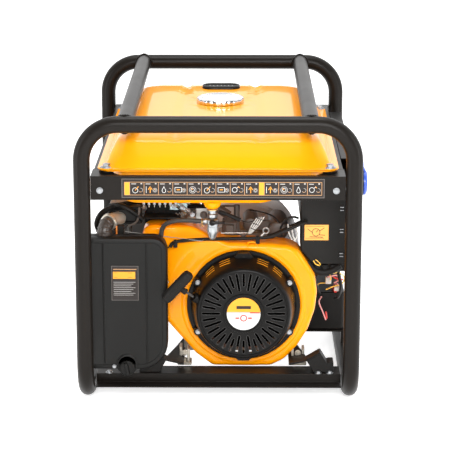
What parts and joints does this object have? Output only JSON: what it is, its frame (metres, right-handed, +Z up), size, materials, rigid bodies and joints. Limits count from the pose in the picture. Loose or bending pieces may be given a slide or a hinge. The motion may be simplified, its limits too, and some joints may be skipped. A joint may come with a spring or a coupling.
{
  "type": "portable generator",
  "caption": "Open-frame portable generator: bent-tube cradle, pressed fuel tank, pull-start engine with air box, alternator and side control panel with sockets.",
  "frame": {"origin": "centre of the overall box's base, on the floor", "axes": "+Z up, +Y along the engine line from the recoil starter (-Y end) to the alternator (+Y end), +X towards the control panel"},
  "size_m": [0.57, 0.75, 0.57],
  "materials": {
    "frame_paint": "black powder coat",
    "tank_paint": "glossy yellow-orange enamel",
    "shroud_paint": "satin orange enamel",
    "black_plastic": "moulded black, fine texture",
    "rubber": "matt black",
    "cast_alloy": "as-cast grey",
    "steel": "bright machined",
    "chrome": "polished",
    "blue_plastic": "moulded blue",
    "grey_plastic": "moulded grey",
    "clear_plastic": "clear, slightly smoky",
    "foam": "open-cell foam",
    "muffler_paint": "matt heat-proof black",
    "copper": "enamelled copper windings"
  },
  "bodies": {
    "frame": {"front_hoop": "frame_paint", "rear_hoop": "frame_paint", "top_rail_left": "frame_paint", "top_rail_right": "frame_paint", "front_crossbeam": "frame_paint", "rear_crossbeam": "frame_paint", "front_tank_bracket": "frame_paint", "rear_tank_bracket": "frame_paint", "side_rail_left": "frame_paint", "side_rail_right": "frame_paint", "battery_tray": "frame_paint", "control_panel_face": "frame_paint", "tank_upper_shell": "tank_paint", "tank_lower_shell": "tank_paint", "fan_shroud": "shroud_paint", "fuel_gauge": "black_plastic", "recoil_housing": "black_plastic", "air_box_cover": "black_plastic", "air_box_base": "black_plastic", "control_panel_housing": "black_plastic", "control_end_cover": "black_plastic", "battery": "black_plastic", "wiring_loom": "black_plastic", "fuel_hose": "rubber", "alternator_mount_left": "rubber", "alternator_mount_right": "rubber", "engine_mount_left": "rubber", "engine_mount_right": "rubber", "fuel_valve": "cast_alloy", "crankcase": "cast_alloy", "cylinder_head": "cast_alloy", "valve_cover": "cast_alloy", "carburetor": "cast_alloy", "intake_elbow": "cast_alloy", "alternator_adapter": "cast_alloy", "alternator_end_bracket": "cast_alloy", "spark_plug": "steel", "alternator_stator": "steel", "starter_rope": "grey_plastic", "alternator_end_cover": "grey_plastic", "filter_bowl": "clear_plastic", "air_filter": "foam", "muffler": "muffler_paint", "starter_motor": "muffler_paint"},
    "cap_body": {"cap_gasket": "rubber"},
    "cap_shell": {"fuel_cap": "chrome"},
    "fuel_lever": {"fuel_valve_lever": "black_plastic"},
    "crank": {"crankshaft": "steel", "flywheel": "steel", "alternator_rotor": "copper"},
    "pulley": {"recoil_pulley": "black_plastic"},
    "grip": {"starter_grip": "rubber"},
    "dipstick": {"oil_dipstick": "black_plastic"},
    "choke": {"choke_lever": "steel"},
    "governor": {"governor_arm": "steel"},
    "knob": {"air_box_knob": "black_plastic"},
    "front_flap": {"front_socket_flap": "blue_plastic"},
    "rear_flap": {"rear_socket_flap": "blue_plastic"},
    "key": {"ignition_key": "black_plastic"},
    "breaker": {"breaker_switch": "black_plastic"}
  },
  "joints": [
    {"name": "cap_lift", "type": "slide", "parent": "frame", "child": "cap_body", "axis": [0, 0, 1], "range_m": [0, 0.08]},
    {"name": "cap_turn", "type": "hinge", "parent": "cap_body", "child": "cap_shell", "pos_m": [-0.0125, 0.03, 0.53], "axis": [0, 0, 1], "range_deg": [0, 90]},
    {"name": "fuel_lever_turn", "type": "hinge", "parent": "frame", "child": "fuel_lever", "pos_m": [-0.0243, -0.2978, 0.35], "axis": [0, 1, 0], "range_deg": [0, 90]},
    {"name": "crank_spin", "type": "hinge", "parent": "frame", "child": "crank", "pos_m": [0.0365, 0, 0.176], "axis": [0, 1, 0], "continuous": true},
    {"name": "grip_pull", "type": "slide", "parent": "frame", "child": "grip", "axis": [-0.7076, -0.3963, 0.585], "range_m": [0, 0.65], "stiffness_N_per_m": 20, "springref_m": -0.5},
    {"name": "recoil_pulley_spin", "type": "hinge", "parent": "frame", "child": "pulley", "pos_m": [0.0365, -0.316, 0.176], "axis": [0, 1, 0], "range_deg": [0, 940]},
    {"name": "dipstick_turn", "type": "hinge", "parent": "frame", "child": "dipstick", "pos_m": [0.1328, -0.11, 0.095], "axis": [1, 0, 0], "range_deg": [0, 720]},
    {"name": "choke_turn", "type": "hinge", "parent": "frame", "child": "choke", "pos_m": [-0.1925, -0.216, 0.3663], "axis": [0, 0, 1], "range_deg": [0, 60]},
    {"name": "governor_turn", "type": "hinge", "parent": "frame", "child": "governor", "pos_m": [0.0225, -0.19, 0.269], "axis": [0, 0, 1], "range_deg": [-8, 12]},
    {"name": "knob_turn", "type": "hinge", "parent": "frame", "child": "knob", "pos_m": [-0.1905, -0.326, 0.064], "axis": [0, -1, 0], "range_deg": [0, 90]},
    {"name": "front_flap_lift", "type": "hinge", "parent": "frame", "child": "front_flap", "pos_m": [0.2793, -0.105, 0.4125], "axis": [0, -1, 0], "range_deg": [0, 100], "stiffness_Nm_per_rad": 0.05, "springref_deg": -11.46},
    {"name": "rear_flap_lift", "type": "hinge", "parent": "frame", "child": "rear_flap", "pos_m": [0.2793, 0.005, 0.4125], "axis": [0, -1, 0], "range_deg": [0, 100], "stiffness_Nm_per_rad": 0.05, "springref_deg": -11.46},
    {"name": "key_turn", "type": "hinge", "parent": "frame", "child": "key", "pos_m": [0.2525, 0.1, 0.385], "axis": [1, 0, 0], "range_deg": [0, 90]},
    {"name": "breaker_toggle", "type": "hinge", "parent": "frame", "child": "breaker", "pos_m": [0.2581, 0.18, 0.385], "axis": [0, 0, 1], "range_deg": [-20, 20]}
  ],
  "couplings": [
    {"joint": "recoil_pulley_spin", "follows": "grip_pull", "rad_per_m": 25}
  ]
}
